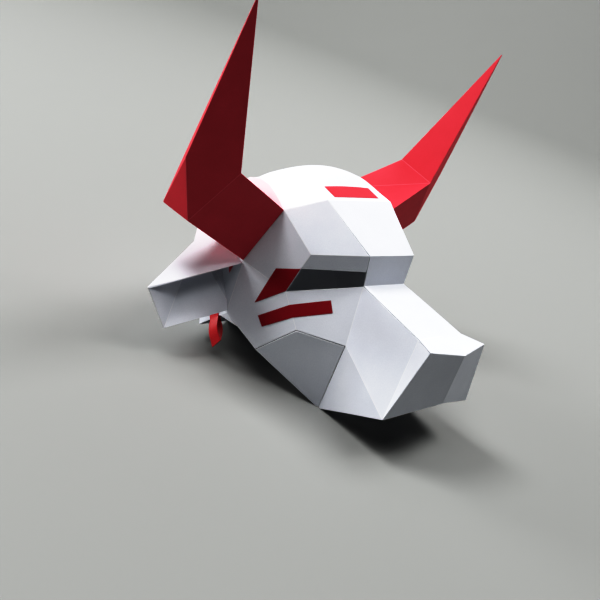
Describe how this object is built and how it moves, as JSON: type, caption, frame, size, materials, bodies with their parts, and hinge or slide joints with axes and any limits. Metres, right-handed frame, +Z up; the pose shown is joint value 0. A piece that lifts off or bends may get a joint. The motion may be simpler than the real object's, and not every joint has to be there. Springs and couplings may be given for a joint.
{
  "type": "full face mask",
  "caption": "Hollow animal-head full face mask of folded card with horns, scoop ears, eye slots and a muzzle, worn over face and crown.",
  "frame": {"origin": "middle of the overall footprint, on the surface that the mask rests on", "axes": "+X across the mask from the wearer's right to the left, -Y towards the muzzle, +Z up from the surface"},
  "size_m": [0.453, 0.3546, 0.405],
  "materials": {
    "white_card": "smooth matte white card, cut and folded",
    "red_card": "matte through-dyed red card, cut and folded",
    "red_ribbon": "woven red satin ribbon"
  },
  "bodies": {
    "root": {"centre_strip": "white_card", "nose_front": "white_card", "face_side_right": "white_card", "jaw_right": "white_card", "crown_side_right": "white_card", "side_panel_right": "white_card", "ear_right": "white_card", "face_side_left": "white_card", "jaw_left": "white_card", "crown_side_left": "white_card", "side_panel_left": "white_card", "ear_left": "white_card", "forehead_bar": "red_card", "horn_right": "red_card", "eye_patch_right": "red_card", "cheek_stripe_right": "red_card", "horn_tab_right": "red_card", "horn_left": "red_card", "eye_patch_left": "red_card", "cheek_stripe_left": "red_card", "horn_tab_left": "red_card", "ribbon_loop_right": "red_ribbon", "ribbon_loop_left": "red_ribbon"}
  },
  "joints": []
}
